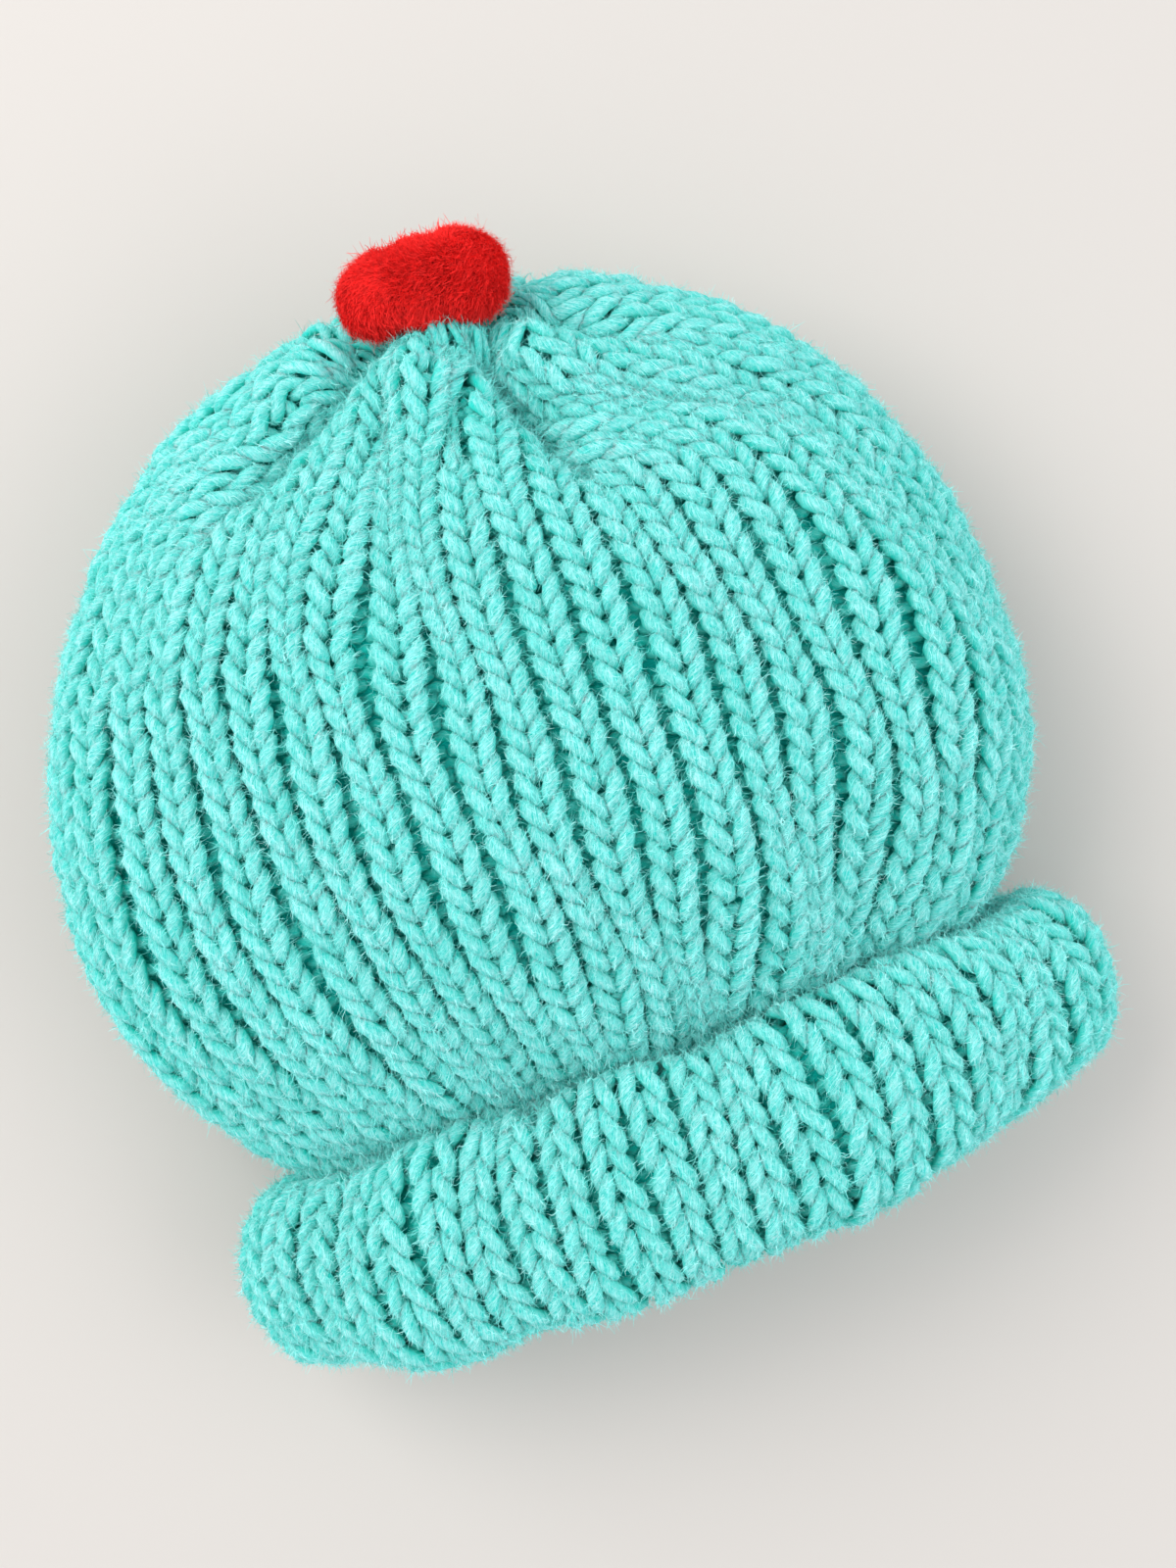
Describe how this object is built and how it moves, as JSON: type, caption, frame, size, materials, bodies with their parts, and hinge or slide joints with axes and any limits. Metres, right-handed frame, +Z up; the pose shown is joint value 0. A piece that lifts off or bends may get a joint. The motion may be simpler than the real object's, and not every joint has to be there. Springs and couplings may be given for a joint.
{
  "type": "knitted baby beanie",
  "caption": "Baby beanie knitted in thick one-by-one rib, with a rolled-up brim, a gathered crown and a sewn-on two-lobed pompom, lying flat on its back.",
  "frame": {"origin": "middle of the footprint, on the surface the hat lies on", "axes": "+Z up from the surface, +Y from the brim towards the gathered top, +X across the hat"},
  "size_m": [0.18, 0.1889, 0.071],
  "materials": {
    "aqua_knit": "soft fuzzy rib knit",
    "aqua_yarn": "soft plied acrylic yarn",
    "red_pile": "dense cut pile",
    "red_yarn": "soft twisted thread"
  },
  "bodies": {
    "hat": {"crown_fabric": "aqua_knit", "brim_outer_ply": "aqua_knit", "brim_tucked_ply": "aqua_knit", "cast_on_edge": "aqua_yarn", "seam_stitches": "aqua_yarn", "gather_yarn": "aqua_yarn", "gather_knot": "aqua_yarn"},
    "tie_end": {"tie_knot": "red_yarn"},
    "tie": {"tie_thread": "red_yarn"},
    "pompom": {"pompom_pile": "red_pile", "pompom_binding": "red_yarn"}
  },
  "joints": [
    {"name": "pompom_twist", "type": "hinge", "parent": "hat", "child": "tie_end", "pos_m": [0.0063, 0.0763, 0.0479], "axis": [0, 0.6428, 0.766], "range_deg": [-40, 40], "stiffness_Nm_per_rad": 0.002},
    {"name": "pompom_sway", "type": "hinge", "parent": "tie_end", "child": "tie", "pos_m": [0.0063, 0.0763, 0.0479], "axis": [0, -0.766, 0.6428], "range_deg": [-8, 8], "stiffness_Nm_per_rad": 0.005},
    {"name": "pompom_nod", "type": "hinge", "parent": "tie", "child": "pompom", "pos_m": [0.0063, 0.0763, 0.0479], "axis": [1, 0, 0], "range_deg": [-8, 8], "stiffness_Nm_per_rad": 0.005}
  ]
}
